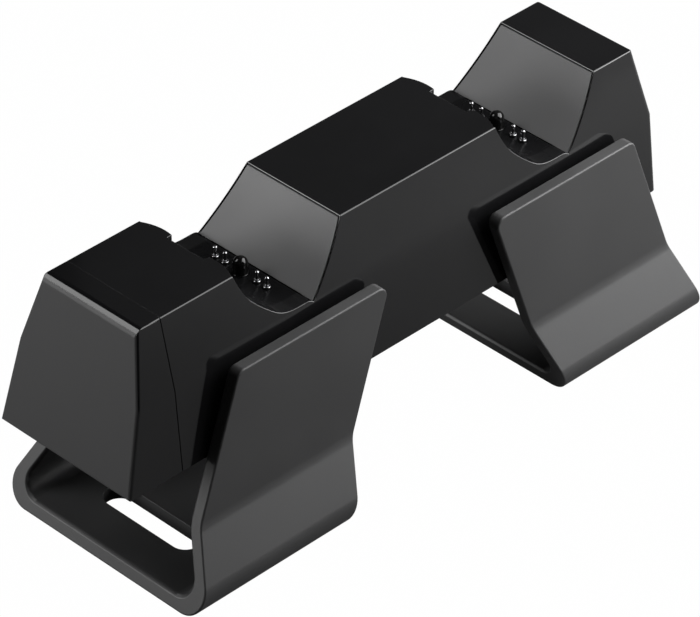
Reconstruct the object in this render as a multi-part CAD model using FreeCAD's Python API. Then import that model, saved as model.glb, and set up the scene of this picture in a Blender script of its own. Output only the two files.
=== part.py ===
import FreeCAD
import Part
import math
import os

# Charging dock for two game controllers. A hollow faceted bar carries two cradles,
# each with spring contacts, a locating post and a sloping backrest, and stands on
# two bent U-shaped stands. Millimetres; +X runs along the bar from the near end to
# the far end, +Z is up, and the origin is the middle of the footprint on the desk.
V = FreeCAD.Vector
os.makedirs("parts", exist_ok=True)

# Places along the dock; together they give its length
near_lip_inset = 36.7       # near end of the bar to where the near cradle starts in the deck
cradle_pitch = 81.2
far_lip_to_foot = 56.55     # far cradle's start to the outer foot of the far stand
near_foot_inset = 9.45      # near end of the bar to the foot of the near stand
far_end_inset = 11.0        # outer foot of the far stand back to the far end of the deck
deck_height = 71.3          # desk to the flat top of the bar

# Bar: a deck, sides that lean out to a crease, then nearly upright sides
deck_width = 29.3
crease_drop = 17.15         # deck down to the crease
crease_width = 37.7
body_depth = 37.6           # deck down to the underside
body_width = 41.5           # at the underside
near_rake = 8.8             # how far the near end face leans over the whole depth
far_rake_upper = 3.0        # far end face, deck to crease
far_rake_lower = 0.5        # far end face, crease to underside
end_edge_radius = 2.4       # soft edge between the deck and the near end face
near_under_radius = 0.4
near_corner_radius = 0.9    # upright corners of the near end
far_edge_radius = 1.2       # deck to far end face
far_crease_radius = 3.0
far_under_radius = 0.5
far_corner_radius = 1.3     # upright corners of the far end
long_edge_radius = 0.35     # deck to sides

# Mouldings
wall = 1.8
clearance = 0.1             # between pieces that slot together
cap_length = 15.6           # near end cap, measured along the underside
spigot_length = 2.2         # frame of the housing that plugs into the cap
spigot_wall = 1.2
seam_groove = 0.25          # shadow line up the sides at the cap's open end
cover_thickness = 1.6
cover_inset = 0.9           # rim of the housing around the bottom cover

# Cradles
scoop_run = 16.3            # lip to the start of the flat floor
scoop_depth = 14.5
floor_run = 2.4             # flat floor between the scoop and the gutter
gutter_run = 2.1            # gutter at the foot of the backrest, where the floor dips
gutter_drop = 0.8
gutter_slope = 0.9          # how steeply the dip ends
foot_groove_width = 0.9     # groove at the foot of the backrest
foot_groove_depth = 0.7
scoop_knots = ((0.2, 0.47), (0.5, 0.795))   # its curve, as shares of the run and the depth
rest_run = 11.7             # how far the backrest leans over its height
rest_hollow = 0.7           # depth of its shallow curve
panel_thickness = 1.2
panel_margin = 0.55         # dark rim left beside and above the panel
panel_gap = 0.3             # shadow gap between the panel and the rim
scoop_start_lean = 0.32     # run for each unit of drop at the lip
lobe_reach = 1.65           # rounded lobes on the lip, either side of the middle gap
lobe_inner = 5.8
lobe_outer = 14.2

# Contacts
post_run = 16.2             # lip to the locating post
contact_run = 16.4          # lip to the row of contacts
contact_inner = 5.05        # offsets of the contacts either side of the middle
contact_outer = 8.15
barrel_diameter = 1.8
barrel_proud = 0.55         # barrel above the cradle floor
barrel_bore = 1.2
barrel_mouth = 0.9
mouth_depth = 0.4
plunger_head = 1.1
plunger_stem = 0.75
plunger_collar = 1.04
plunger_proud = 2.4         # head above the barrel
plunger_head_height = 0.7
plunger_collar_height = 0.8
plunger_travel = 1.0
spring_room = 1.8           # left for the spring below the pressed plunger
post_diameter = 3.45
post_height = 4.15          # above the cradle floor
post_dome = 1.45            # radius of its rounded top
post_shoulder = 3.8         # thicker foot that fills the floor's hole
post_shoulder_proud = 0.2   # above the cradle floor
post_flange = 5.2
board_drop = 2.2            # floor underside down to the contact board
board_thickness = 1.2
contact_board_length = 9.0
contact_board_width = 31.0
board_boss_offset = 12.9
board_boss_diameter = 3.4
board_screw_shank = 1.5
board_screw_head = 2.8
board_screw_head_height = 1.0
board_screw_grip = 2.2      # length in the boss
screw_tip_room = 0.2        # hole beyond every screw's tip

# Main board and power inlet
main_board_length = 40.0
main_board_width = 25.0
main_board_y = 3.0
main_board_lift = 2.0       # above the bottom cover
stake_diameter = 1.8
stake_seat = 4.0
stake_inset = 3.0
stake_proud = 0.8
inlet_width = 8.9
inlet_height = 3.2
inlet_depth = 7.4
inlet_shell = 0.35
inlet_back = 1.0            # its closed rear wall
inlet_tongue = 0.7
inlet_tongue_width = 6.05
inlet_tongue_inset = 0.6    # behind the inlet's mouth
inlet_recess = 0.4          # mouth behind the bar's side

# Bottom cover screws
cover_screw_inset = 7.35    # near cover screws in from the seam
cover_screw_offset = -25.0  # middle cover screws from halfway between the stands
cover_screw_far_inset = 9.0  # far cover screws in from the far end
cover_screw_y = 16.2
cover_boss_diameter = 4.6
cover_boss_height = 9.0
cover_screw_shank = 2.0
cover_screw_head = 3.8
cover_screw_head_height = 0.9
cover_screw_grip = 6.0

# Stands
stand_length = 47.15        # along the bar, at the desk
stand_slant = 0.37          # lean of the stand's outer edge towards the middle
stand_inner_slant = 0.347   # lean of its other edge
stand_top_drop = 16.6       # deck down to the tops of the right walls
stand_left_drop = 4.0       # the hidden left walls end lower by this much
stand_thickness = 3.7
stand_wall_half = 24.1      # middle of the bar to the outside of a wall, at the crease's height
stand_wall_lean = 0.024
stand_foot_width = 62.3
stand_bend_radius = 5.7     # outside of the lower bends
stand_inner_bend = 3.6      # inside of the lower bends
stand_flare = 26.4          # degrees, lower walls from upright
stand_kink_radius = 7.0
stand_corner_radius = 2.4
stand_inner_chamfer = 0.8
stand_outer_radius = 0.45
stand_lift = 0.2            # the pads stand proud of the base by this much
slot_width = 7.4
slot_length = 29.0
near_slot_inset = 15.85     # slot centre from the near edge of the near stand's foot
far_slot_inset = 14.6       # the same on the far stand, also from its near edge
stand_screw_spacing = 20.0
stand_screw_drop = 27.3     # deck down to the screws
stand_screw_shank = 2.2
stand_screw_head = 4.2
stand_screw_head_height = 1.4
stand_screw_grip = 3.2      # length beyond the bar's side, in the stand's boss and wall
stand_boss_diameter = 5.2   # boss between the wall and the bar's side
key_length = 10.0           # key of the stand that locates in the bar's side
key_height = 5.0
key_depth = 0.8
pad_width = 4.6
pad_length = 40.0
pad_depth = 1.0             # recess in the base
pad_inset = 4.6             # pad's centre line from the base's ends

overall_length = near_lip_inset + cradle_pitch + far_lip_to_foot
big = 4 * overall_length
overlap = 0.2               # how far fused pieces reach into each other
spill = 5.0                 # how far a cutting form runs on past the bar's deck or underside
tiny = 0.01


def save(name, shape):
    shape.exportStep(os.path.join("parts", name + ".step"))


def box(x0, x1, y0, y1, z0, z1):
    return Part.makeBox(x1 - x0, y1 - y0, z1 - z0, V(x0, y0, z0))


def rod(diameter, length, base, direction=V(0, 0, 1)):
    return Part.makeCylinder(diameter / 2, length, base, direction)


def solid_of(faces):
    return Part.makeSolid(Part.makeShell(faces))


def frustum(levels):
    """Solid through rectangles, given top down as (z, x0, x1, half width)."""
    rings = [[V(x0, -w, z), V(x1, -w, z), V(x1, w, z), V(x0, w, z)] for z, x0, x1, w in levels]
    faces = [Part.Face(Part.makePolygon(rings[0] + rings[0][:1])),
             Part.Face(Part.makePolygon(rings[-1] + rings[-1][:1]))]
    for upper, lower in zip(rings, rings[1:]):
        for i in range(4):
            j = (i + 1) % 4
            faces.append(Part.Face(Part.makePolygon([upper[i], upper[j], lower[j], lower[i], upper[i]])))
    return solid_of(faces)


# Heights and ends of the bar
crease_z = deck_height - crease_drop
under_z = deck_height - body_depth
near_slope = near_rake / body_depth
# The rounded lower edge takes this much off the near end, so its sharp form starts further out
near_trim = near_under_radius * (near_slope + math.hypot(1, near_slope) - 1)
near_under_x = -overall_length / 2 - near_trim
near_lip_x = -overall_length / 2 + near_lip_inset
far_end_x = overall_length / 2 - far_end_inset
near_deck_x = near_under_x + near_rake
near_crease_x = near_deck_x - near_slope * crease_drop
far_crease_x = far_end_x + far_rake_upper
far_under_x = far_crease_x + far_rake_lower
seam_x = -overall_length / 2 + cap_length
lean_upper = (crease_width - deck_width) / 2 / crease_drop
lean_lower = (body_width - crease_width) / 2 / (body_depth - crease_drop)
far_slope_upper = far_rake_upper / crease_drop
far_slope_lower = far_rake_lower / (body_depth - crease_drop)
stand_mid_x = near_foot_inset / 2   # the two stands mirror each other about this plane
stand_top = deck_height - stand_top_drop
stand_screw_z = deck_height - stand_screw_drop
cover_screw_x = (seam_x + cover_screw_inset, stand_mid_x + cover_screw_offset,
                 far_under_x - cover_screw_far_inset)


def bar_body(inset=0.0, top=0.0, bottom=0.0):
    """The bar's faceted form, drawn in by inset on its sides and ends."""
    side_u = inset * math.hypot(1, lean_upper)
    side_l = inset * math.hypot(1, lean_lower)
    near = inset * math.hypot(1, near_slope)
    z0 = deck_height - top
    z2 = under_z + bottom
    levels = [(z0, near_deck_x - top * near_slope + near, far_end_x + top * far_slope_upper - inset,
               deck_width / 2 + top * lean_upper - side_u),
              (crease_z, near_crease_x + near, far_crease_x - inset,
               crease_width / 2 - side_l),
              (z2, near_under_x + bottom * near_slope + near, far_under_x - bottom * far_slope_lower - inset,
               body_width / 2 - bottom * lean_lower - side_l)]
    return frustum(levels)


def rounded(points, radii):
    """Closed wire through the points with each corner rounded to its radius."""
    n = len(points)
    edges, ends = [], []
    for i in range(n):
        p, a, b = points[i], points[i - 1], points[(i + 1) % n]
        u, v = (a - p).normalize(), (b - p).normalize()
        half = u.getAngle(v) / 2
        if not radii[i]:
            ends.append((p, p))
            continue
        reach = radii[i] / math.tan(half)
        centre = p + (u + v).normalize() * (radii[i] / math.sin(half))
        start, stop = p + u * reach, p + v * reach
        middle = centre + (p - centre).normalize() * radii[i]
        ends.append((start, stop))
        edges.append(Part.Arc(start, middle, stop).toShape())
    for i in range(n):
        edges.append(Part.LineSegment(ends[i][1], ends[(i + 1) % n][0]).toShape())
    return Part.Wire(Part.__sortEdges__(edges))


def slab(z0, z1):
    return box(-big, big, -big, big, z0, z1)


def side_y(z):
    """Half width of the bar's lower side at height z."""
    return crease_width / 2 + lean_lower * (crease_z - z)


# Cradle profile, in the plane of the lip: run along +X, depth below the deck
floor_z = deck_height - scoop_depth
gutter_x = scoop_run + floor_run
foot_x = gutter_x + gutter_run
rest_top_x = foot_x + rest_run
foot_drop = scoop_depth + gutter_drop


def cradle_edges(lip_x):
    """Edges of the cradle from the lip down the scoop, over the floor, up the backrest."""
    def p(run, drop):
        return V(lip_x + run, 0, deck_height - drop)
    scoop = Part.BSplineCurve()
    knots = [p(a * scoop_run, b * scoop_depth) for a, b in scoop_knots]
    scoop.interpolate(Points=[p(0, 0)] + knots + [p(scoop_run, scoop_depth)],
                      InitialTangent=V(scoop_start_lean, 0, -1), FinalTangent=V(1, 0, 0))
    gutter = Part.BSplineCurve()
    gutter.interpolate(Points=[p(gutter_x, scoop_depth), p(foot_x, foot_drop)],
                       InitialTangent=V(1, 0, 0), FinalTangent=V(1, 0, -gutter_slope))
    chord = V(rest_run, 0, foot_drop)
    normal = V(chord.z, 0, -chord.x).normalize()
    middle = p(foot_x + rest_run / 2, foot_drop / 2) + normal * rest_hollow
    return [scoop.toShape(),
            Part.LineSegment(p(scoop_run, scoop_depth), p(gutter_x, scoop_depth)).toShape(),
            gutter.toShape(),
            Part.Arc(p(foot_x, foot_drop), middle, p(rest_top_x, 0)).toShape()]


def prism_across(wire):
    """Solid from a profile in the XZ plane, running right across the bar."""
    face = Part.Face(wire)
    face.translate(V(0, -big / 8, 0))
    return face.extrude(V(0, big / 4, 0))


def cradle_tool(lip_x):
    """Prism that cuts a cradle."""
    start, end = V(lip_x, 0, deck_height), V(lip_x + rest_top_x, 0, deck_height)
    up = V(0, 0, wall)
    return prism_across(Part.Wire(cradle_edges(lip_x) + [
        Part.LineSegment(end, end + up).toShape(),
        Part.LineSegment(end + up, start + up).toShape(),
        Part.LineSegment(start + up, start).toShape()]))


def stand_off(edge, distance, count):
    """Points along an edge of the cradle's profile, moved into the material behind it."""
    points = []
    for i in range(count):
        u = edge.FirstParameter + (edge.LastParameter - edge.FirstParameter) * i / (count - 1)
        t = edge.tangentAt(u)
        points.append(edge.valueAt(u) + V(t.z, 0, -t.x) * distance)
    return points


def cradle_skin(lip_x):
    """The cradle grown by one wall, and behind the backrest by its panel too."""
    scoop, floor, gutter, rest = cradle_edges(lip_x)
    points = stand_off(scoop, wall, 8) + [V(lip_x + gutter_x, 0, floor_z - wall)]
    behind = stand_off(rest, wall + panel_thickness, 5)
    points += [V(behind[0].x, 0, deck_height - foot_drop - wall)] + behind
    points += [V(behind[-1].x, 0, deck_height + wall), V(points[0].x, 0, deck_height + wall)]
    return prism_across(Part.makePolygon(points + points[:1]))


def rest_slab(lip_x, thickness):
    """The layer just behind the backrest's surface, across the whole bar."""
    front = cradle_edges(lip_x)[3]
    back = front.copy()
    back.translate(V(thickness * math.hypot(rest_run, foot_drop) / foot_drop, 0, 0))
    ends = [Part.LineSegment(front.Vertexes[0].Point, back.Vertexes[0].Point).toShape(),
            Part.LineSegment(front.Vertexes[-1].Point, back.Vertexes[-1].Point).toShape()]
    return prism_across(Part.Wire(Part.__sortEdges__([front, back] + ends)))


def lip_lobes(lip_x):
    """Rounded lobes of the lip, either side of the middle gap, cut to the scoop below."""
    lobes = []
    for side in (-1, 1):
        a = V(lip_x - 2, side * lobe_inner, 0)
        b = V(lip_x + 0.88 * lobe_reach, side * lobe_inner, 0)
        c = V(lip_x + lobe_reach, side * (lobe_inner + 0.3 * (lobe_outer - lobe_inner)), 0)
        d = V(lip_x, side * lobe_outer, 0)
        e = V(lip_x - 2, side * lobe_outer, 0)
        curve = Part.BSplineCurve()
        curve.interpolate(Points=[b, c, d])
        wire = Part.Wire([Part.LineSegment(a, b).toShape(), curve.toShape(),
                          Part.LineSegment(d, e).toShape(), Part.LineSegment(e, a).toShape()])
        face = Part.Face(wire)
        face.translate(V(0, 0, deck_height - 0.6 * scoop_depth))
        lobes.append(face.extrude(V(0, 0, 0.6 * scoop_depth)))
    return lobes


cradles = {"near": near_lip_x, "far": near_lip_x + cradle_pitch}

# Envelope of the bar with its soft edges: a form drafted from above that runs on past the deck and the
# underside, cut to the outlines from the side and from the end
def rounded_level(z, x0, x1, half):
    return rounded([V(x0, -half, z), V(x1, -half, z), V(x1, half, z), V(x0, half, z)],
                   [near_corner_radius, far_corner_radius, far_corner_radius, near_corner_radius])


levels = [rounded_level(deck_height + spill, near_deck_x + near_slope * spill,
                        far_end_x - far_slope_upper * spill, deck_width / 2 - lean_upper * spill),
          rounded_level(crease_z, near_crease_x, far_crease_x, crease_width / 2),
          rounded_level(under_z - spill, near_under_x - near_slope * spill,
                        far_under_x + far_slope_lower * spill, body_width / 2 + lean_lower * spill)]
plan = Part.makeLoft(levels[:2], True, True).fuse(Part.makeLoft(levels[1:], True, True)).removeSplitter()
profile = rounded([V(near_under_x, 0, under_z), V(near_deck_x, 0, deck_height), V(far_end_x, 0, deck_height),
                   V(far_crease_x, 0, crease_z), V(far_under_x, 0, under_z)],
                  [near_under_radius, end_edge_radius, far_edge_radius, far_crease_radius, far_under_radius])
cross = rounded([V(0, -deck_width / 2, deck_height), V(0, deck_width / 2, deck_height),
                 V(0, crease_width / 2, crease_z), V(0, body_width / 2, under_z),
                 V(0, -body_width / 2, under_z), V(0, -crease_width / 2, crease_z)],
                [long_edge_radius, long_edge_radius, 0, 0, 0, 0])
lengthwise = Part.Face(cross).extrude(V(big, 0, 0)).translated(V(-big / 2, 0, 0))
envelope = plan.common(prism_across(profile)).common(lengthwise).removeSplitter()

# Housing: shell with the cradles sunk into it, open underneath
tools = {k: cradle_tool(x) for k, x in cradles.items()}
right_of_seam = box(seam_x, big, -big, big, -big, big)

housing = envelope.common(right_of_seam)
for key, lip_x in cradles.items():
    cutter = tools[key]
    for lobe in lip_lobes(lip_x):
        cutter = cutter.cut(lobe)
    housing = housing.cut(cutter)
cavity = bar_body(wall, wall, -spill).common(right_of_seam)
for lip_x in cradles.values():
    cavity = cavity.cut(cradle_skin(lip_x))
housing = housing.cut(cavity)

rebate_top = under_z + cover_thickness
rebate = bar_body(cover_inset).common(slab(under_z - spill, rebate_top)).common(right_of_seam)
housing = housing.cut(rebate)

# Spigot: a frame inside the housing's near end that plugs into the cap
frame = bar_body(wall + clearance, wall + clearance, wall + clearance).cut(
    bar_body(wall + spigot_wall, wall + spigot_wall, wall + spigot_wall))
root = bar_body(wall - overlap, wall - overlap, cover_thickness).cut(
    bar_body(wall + spigot_wall, wall + spigot_wall, wall + spigot_wall))
spigot = frame.common(box(seam_x - spigot_length, seam_x + spigot_length, -big, big, -big, big))
spigot = spigot.fuse(root.common(box(seam_x, seam_x + spigot_length, -big, big, -big, big)))
housing = housing.fuse(spigot)

# Seats for the backrest panels
panels = {}
for key, lip_x in cradles.items():
    layer = rest_slab(lip_x, panel_thickness)
    panels[key] = layer.common(bar_body(panel_margin, panel_margin))
    rim = panel_margin - panel_gap
    housing = housing.cut(layer.common(bar_body(rim, rim)))
    groove = slab(deck_height - foot_drop - foot_groove_depth, floor_z).common(bar_body(rim))
    groove_x = lip_x + foot_x - foot_groove_width
    housing = housing.cut(groove.common(box(groove_x, lip_x + foot_x, -big, big, 0, big)))

# Contact boards hang under the cradle floors and carry the contacts and the posts
board_top = floor_z - wall - board_drop
board_under = board_top - board_thickness
contact_y = (-contact_outer, -contact_inner, contact_inner, contact_outer)
barrel_top = floor_z + barrel_proud
collar_top = barrel_top - mouth_depth - clearance / 2
bore_floor = collar_top - plunger_collar_height - plunger_travel - spring_room

barrel = rod(barrel_diameter, barrel_top - board_top, V(0, 0, board_top))
barrel = barrel.cut(rod(barrel_bore, barrel_top - mouth_depth - bore_floor, V(0, 0, bore_floor)))
barrel = barrel.cut(rod(barrel_mouth, 2 * mouth_depth, V(0, 0, barrel_top - mouth_depth - overlap)))

head_base = barrel_top + plunger_proud - plunger_head_height
head = rod(plunger_head, plunger_head_height, V(0, 0, head_base))
head = head.makeFillet(0.35 * plunger_head_height,
                       [e for e in head.Edges if e.BoundBox.ZMin > head_base + 0.9 * plunger_head_height])
stem = rod(plunger_stem, head_base - collar_top + 2 * overlap, V(0, 0, collar_top - overlap))
collar = rod(plunger_collar, plunger_collar_height, V(0, 0, collar_top - plunger_collar_height))
plunger = head.fuse([stem, collar]).removeSplitter()

post = rod(post_diameter, post_height, V(0, 0, floor_z))
post_top = floor_z + post_height
post = post.makeFillet(post_dome, [e for e in post.Edges if e.BoundBox.ZMin > post_top - tiny])
post = post.fuse([rod(post_shoulder, overlap + wall + post_shoulder_proud, V(0, 0, floor_z - wall - overlap)),
                  rod(post_flange, board_drop, V(0, 0, board_top))]).removeSplitter()

contact_board = box(-contact_board_length / 2, contact_board_length / 2,
                    -contact_board_width / 2, contact_board_width / 2, board_under, board_top)
board_screw = rod(board_screw_head, board_screw_head_height,
                  V(0, 0, board_under - board_screw_head_height))
board_screw = board_screw.fuse(
    rod(board_screw_shank, board_thickness + board_screw_grip, V(0, 0, board_under))).removeSplitter()
for side in (-1, 1):
    contact_board = contact_board.cut(rod(board_screw_shank + 2 * clearance, 3 * board_thickness,
                                          V(0, side * board_boss_offset, board_under - board_thickness)))

for key, lip_x in cradles.items():
    x = lip_x + contact_run
    for y in contact_y:
        housing = housing.cut(rod(barrel_diameter + 2 * clearance, 3 * wall, V(x, y, floor_z - 2 * wall)))
    post_x = lip_x + post_run
    housing = housing.cut(rod(post_shoulder + 2 * clearance, 3 * wall, V(post_x, 0, floor_z - 2 * wall)))
    for side in (-1, 1):
        seat = V(x, side * board_boss_offset, board_top)
        boss = rod(board_boss_diameter, board_drop + 0.6 * wall, seat)
        housing = housing.fuse(boss).cut(rod(board_screw_shank, board_screw_grip + screw_tip_room, seat))
        save("board_screw_%s_%s" % (key, "left" if side > 0 else "right"),
             board_screw.translated(V(x, side * board_boss_offset, 0)))
    save("contact_board_" + key, contact_board.translated(V(x, 0, 0)))
    save("post_" + key, post.translated(V(post_x, 0, 0)))
    save("backrest_" + key, panels[key])
    for i, y in enumerate(contact_y, 1):
        save("barrel_%s_%d" % (key, i), barrel.translated(V(x, y, 0)))
        save("plunger_%s_%d" % (key, i), plunger.translated(V(x, y, 0)))

# Bottom cover, its screws and their bosses
cover = bar_body(cover_inset + clearance).common(slab(under_z, rebate_top))
cover = cover.common(box(seam_x + clearance, big, -big, big, -big, big))
inside = bar_body(wall / 2, wall / 2, -spill)
for i, x in enumerate(cover_screw_x, 1):
    for side in (-1, 1):
        y = side * cover_screw_y
        boss = rod(cover_boss_diameter, cover_boss_height, V(x, y, rebate_top)).common(inside)
        housing = housing.fuse(boss).cut(
            rod(cover_screw_shank, cover_screw_grip + screw_tip_room, V(x, y, rebate_top)))
        cover = cover.cut(rod(cover_screw_shank + 2 * clearance, 3 * cover_thickness,
                              V(x, y, under_z - cover_thickness)))
        cover = cover.cut(rod(cover_screw_head + 2 * clearance, 2 * cover_screw_head_height,
                              V(x, y, under_z - cover_screw_head_height)))
        screw = rod(cover_screw_head, cover_screw_head_height, V(x, y, under_z))
        shank = rod(cover_screw_shank, cover_thickness - cover_screw_head_height + cover_screw_grip,
                    V(x, y, under_z + cover_screw_head_height))
        screw = screw.fuse(shank).removeSplitter()
        save("cover_screw_%s_%d" % ("left" if side > 0 else "right", i), screw)

# Main board on stakes of the bottom cover, with the power inlet in the left side
board_seat = rebate_top + main_board_lift
inlet_z = board_seat + board_thickness + inlet_height / 2
main_board = box(stand_mid_x - main_board_length / 2, stand_mid_x + main_board_length / 2,
                 main_board_y - main_board_width / 2, main_board_y + main_board_width / 2,
                 board_seat, board_seat + board_thickness)
for sx in (-1, 1):
    for sy in (-1, 1):
        x = stand_mid_x + sx * (main_board_length / 2 - stake_inset)
        y = main_board_y + sy * (main_board_width / 2 - stake_inset)
        cover = cover.fuse([rod(stake_seat, main_board_lift, V(x, y, rebate_top)),
                            rod(stake_diameter, main_board_lift + board_thickness + stake_proud,
                                V(x, y, rebate_top))])
        main_board = main_board.cut(rod(stake_diameter + 2 * clearance, 3 * board_thickness,
                                        V(x, y, board_seat - board_thickness)))


def stadium(width, height, y0, y1):
    """Bar of rounded section along Y, centred on the inlet."""
    r = height / 2
    reach = width / 2 - r
    core = box(stand_mid_x - reach, stand_mid_x + reach, y0, y1, inlet_z - r, inlet_z + r)
    ends = [rod(height, y1 - y0, V(stand_mid_x + s * reach, y0, inlet_z), V(0, 1, 0)) for s in (-1, 1)]
    return core.fuse(ends).removeSplitter()


inlet_mouth = side_y(inlet_z) - inlet_recess
inlet = stadium(inlet_width, inlet_height, inlet_mouth - inlet_depth, inlet_mouth)
inlet = inlet.cut(stadium(inlet_width - 2 * inlet_shell, inlet_height - 2 * inlet_shell,
                          inlet_mouth - inlet_depth + inlet_back, inlet_mouth + inlet_back))
inlet = inlet.fuse(box(stand_mid_x - inlet_tongue_width / 2, stand_mid_x + inlet_tongue_width / 2,
                       inlet_mouth - inlet_depth + inlet_back / 2, inlet_mouth - inlet_tongue_inset,
                       inlet_z - inlet_tongue / 2, inlet_z + inlet_tongue / 2)).removeSplitter()
housing = housing.cut(stadium(inlet_width + 2 * clearance, inlet_height + 2 * clearance,
                              inlet_mouth - 3 * wall, inlet_mouth + wall))

# Near end cap: a closed box that slips over the spigot
cap = envelope.common(box(-big, seam_x, -big, big, -big, big))
cap = cap.cut(bar_body(wall, wall, wall))
shadow_line = box(seam_x - seam_groove, seam_x, -big, big, -big, big)
cap = cap.cut(shadow_line.cut(bar_body(seam_groove)))

# Stands
def meet(p, d, q, e):
    """Where the line from p along d crosses the line from q along e, in the YZ plane."""
    det = d.y * e.z - d.z * e.y
    t = ((q.y - p.y) * e.z - (q.z - p.z) * e.y) / det
    return p + d * t


flare = math.radians(stand_flare)
side_out = V(0, 1, lean_lower).normalize()
upper_dir = V(0, -stand_wall_lean, 1).normalize()
lower_dir = V(0, -math.sin(flare), math.cos(flare))
upper_out = V(0, upper_dir.z, -upper_dir.y)
lower_out = V(0, math.cos(flare), math.sin(flare))
bend_centre = V(0, stand_foot_width / 2 - stand_bend_radius, stand_lift + stand_bend_radius)
half_turn = V(0, 1, 0)


def u_section(depth, top, bend):
    """Closed outline of the stand's section, moved in by depth, with its lower bends' radius."""
    on_upper = V(0, stand_wall_half, crease_z) - upper_out * depth
    on_lower = bend_centre + lower_out * (stand_bend_radius - depth)
    on_base = V(0, 0, stand_lift + depth)
    tip = meet(on_upper, upper_dir, V(0, 0, top), half_turn)
    kink = meet(on_upper, upper_dir, on_lower, lower_dir)
    corner = meet(on_lower, lower_dir, on_base, half_turn)
    right = [tip, kink, corner]
    left = [V(0, -p.y, p.z) for p in reversed(right)]
    fold = stand_kink_radius + depth
    return rounded(right + left, [0, fold, bend, bend, fold, 0])


def wall_top(y):
    return stand_top - (stand_left_drop if y > 0 else 0)


def lies_on(wire, edge):
    """True if the edge runs along the section's outline, seen from the end of the bar."""
    points = [edge.valueAt(edge.FirstParameter + f * (edge.LastParameter - edge.FirstParameter))
              for f in (0.0, 0.5, 1.0)]
    along_bar = abs(points[0].y - points[2].y) + abs(points[0].z - points[2].z) < tiny
    if along_bar and points[0].z < wall_top(points[0].y) - tiny:
        return False
    return all(wire.distToShape(Part.Vertex(V(0, p.y, p.z)))[0] < tiny for p in points)


def obround(x, width, length, z0, z1):
    """Rounded bar across the object at x."""
    reach = length / 2 - width / 2
    core = box(x - width / 2, x + width / 2, -reach, reach, z0, z1)
    return core.fuse([rod(width, z1 - z0, V(x, s * reach, z0)) for s in (-1, 1)]).removeSplitter()


# The slanted ends and the soft lower edge trim the foot, so it starts this much further out
trimmed = stand_slant * (stand_lift + stand_outer_radius)
trimmed += stand_outer_radius * (math.hypot(1, stand_slant) - 1)
stand_outer_foot = overall_length / 2 + trimmed
near_foot_x = 2 * stand_mid_x - stand_outer_foot
far_foot_x = stand_outer_foot - stand_length
stand_screw_x = near_foot_x + stand_length / 2 + (stand_slant + stand_inner_slant) / 2 * stand_screw_z


def key_window(grow):
    x = stand_screw_x
    length, height = key_length / 2 + grow, key_height / 2 + grow
    return box(x - length, x + length, -big, big, stand_screw_z - height, stand_screw_z + height)


def mirrored(shape):
    return shape.mirror(V(stand_mid_x, 0, 0), V(1, 0, 0))


outer = u_section(0, stand_top, stand_bend_radius)
inner = u_section(stand_thickness, stand_top + stand_thickness, stand_inner_bend)
inside_u = Part.Face(inner).extrude(V(big, 0, 0)).translated(V(-big / 2, 0, 0))
section = Part.Face(outer).extrude(V(big, 0, 0)).translated(V(-big / 2, 0, 0)).cut(inside_u)
low = stand_lift - 1
x0, x1 = near_foot_x, near_foot_x + stand_length
halves = []
for side in (-1, 1):
    top = wall_top(side)
    corners = [V(x0 + stand_slant * low, 0, low), V(x1 + stand_inner_slant * low, 0, low),
               V(x1 + stand_inner_slant * top, 0, top), V(x0 + stand_slant * top, 0, top)]
    side_view = rounded(corners, [0, 0, stand_corner_radius, stand_corner_radius])
    half = box(-big, big, min(0, side * big), max(0, side * big), -big, big)
    halves.append(section.common(prism_across(side_view)).common(half))
stand = halves[0].fuse(halves[1]).removeSplitter()
stand = stand.makeChamfer(stand_inner_chamfer, [e for e in stand.Edges if lies_on(inner, e)])
stand = stand.makeFillet(stand_outer_radius, [e for e in stand.Edges if lies_on(outer, e)])
key = inside_u.common(key_window(0)).cut(bar_body(key_depth))
recess = bar_body(-tiny).cut(bar_body(key_depth + clearance)).common(key_window(clearance))
stand_screws = []
for side in (-1, 1):
    out = V(0, side * side_out.y, side_out.z)
    for shift in (-stand_screw_spacing / 2, stand_screw_spacing / 2):
        face = V(stand_screw_x + shift, side * side_y(stand_screw_z), stand_screw_z)
        stand_screws.append((side, out, face))
bosses = [rod(stand_boss_diameter, stand_screw_grip, face, out) for side, out, face in stand_screws]
stand = stand.fuse([key] + [boss.cut(bar_body()) for boss in bosses]).removeSplitter()

for name, place in (("near", lambda s: s), ("far", mirrored)):
    housing = housing.cut(place(recess))
    piece = place(stand)
    foot_x = near_foot_x if name == "near" else far_foot_x
    inset = near_slot_inset if name == "near" else far_slot_inset
    piece = piece.cut(obround(foot_x + inset, slot_width, slot_length, -1, 3 * stand_thickness))
    for end, x in (("front", foot_x + pad_inset), ("rear", foot_x + stand_length - pad_inset)):
        pad_top = stand_lift + pad_depth
        piece = piece.cut(obround(x, pad_width + 2 * clearance, pad_length + 2 * clearance, -1, pad_top))
        save("pad_%s_%s" % (name, end), obround(x, pad_width, pad_length, 0, pad_top))
    for i, (side, out, face) in enumerate(stand_screws):
        seat = face - out * wall
        hole = rod(stand_screw_shank + 2 * clearance, 3 * wall, seat - out * wall, out)
        blind = rod(stand_screw_shank, stand_screw_grip + screw_tip_room, face, out)
        screw = rod(stand_screw_head, stand_screw_head_height, seat - out * stand_screw_head_height, out)
        screw = screw.fuse(rod(stand_screw_shank, wall + stand_screw_grip, seat, out)).removeSplitter()
        housing = housing.cut(place(hole))
        piece = piece.cut(place(blind))
        save("stand_screw_%s_%s_%d" % (name, "left" if side > 0 else "right", i % 2 + 1), place(screw))
    save("stand_" + name, piece)
    print("stand", name, piece.isValid(), len(piece.Solids), round(piece.Volume))

for name, shape in (("housing", housing), ("end_cap", cap), ("bottom_cover", cover),
                    ("main_board", main_board), ("power_inlet", inlet)):
    save(name, shape)
    print(name, shape.isValid(), len(shape.Solids), round(shape.Volume))
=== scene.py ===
import math

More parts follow.
